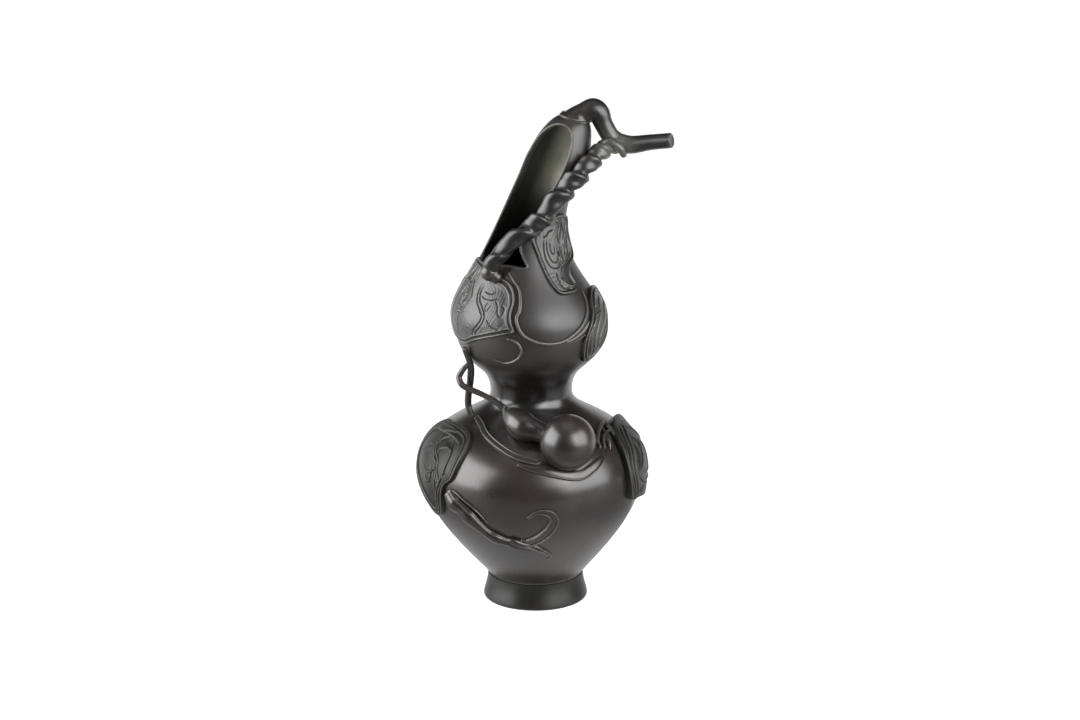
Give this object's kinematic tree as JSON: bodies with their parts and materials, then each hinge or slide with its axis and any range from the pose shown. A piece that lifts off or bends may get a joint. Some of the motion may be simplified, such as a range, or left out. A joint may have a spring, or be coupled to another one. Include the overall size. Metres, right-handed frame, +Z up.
{
  "type": "ikebana vase",
  "caption": "Double gourd flower vase on a round foot, with an open side mouth, a cut stem on top, a twisted vine across the mouth, and leaves and tendrils on the walls.",
  "frame": {"origin": "on the surface that the vase stands on, under the middle of the whole vase's outline seen from above", "axes": "+Z up, -Y towards the front, where the small gourd and the smooth panel are, +X to the right, where the cut branch points"},
  "size_m": [0.1396, 0.1268, 0.2803],
  "materials": {
    "dark_bronze": "dark brown-black patinated bronze, satin",
    "green_bronze": "olive-black patinated bronze, satin, paler on worn edges",
    "brown_bronze": "red-brown patinated bronze, satin, rubbed"
  },
  "bodies": {
    "root": {"foot_ring": "green_bronze", "base_plate": "dark_bronze", "lower_gourd": "dark_bronze", "upper_gourd": "dark_bronze", "stem": "dark_bronze", "cut_branch": "dark_bronze", "twisted_vine": "dark_bronze", "vine_boss": "brown_bronze", "shoulder_leaf": "dark_bronze", "back_leaf": "dark_bronze", "side_leaf": "dark_bronze", "neck_leaf": "green_bronze", "belly_leaf": "green_bronze", "folded_leaf": "green_bronze", "panel_rim": "green_bronze", "panel_web": "green_bronze", "upper_curl": "green_bronze", "hanging_strand": "green_bronze", "gourd_stalk": "brown_bronze", "small_gourd": "brown_bronze", "shoulder_ridge": "green_bronze", "shoulder_band": "green_bronze", "knot_loop": "green_bronze", "trailing_vine": "dark_bronze", "lower_curl": "green_bronze"}
  },
  "joints": []
}
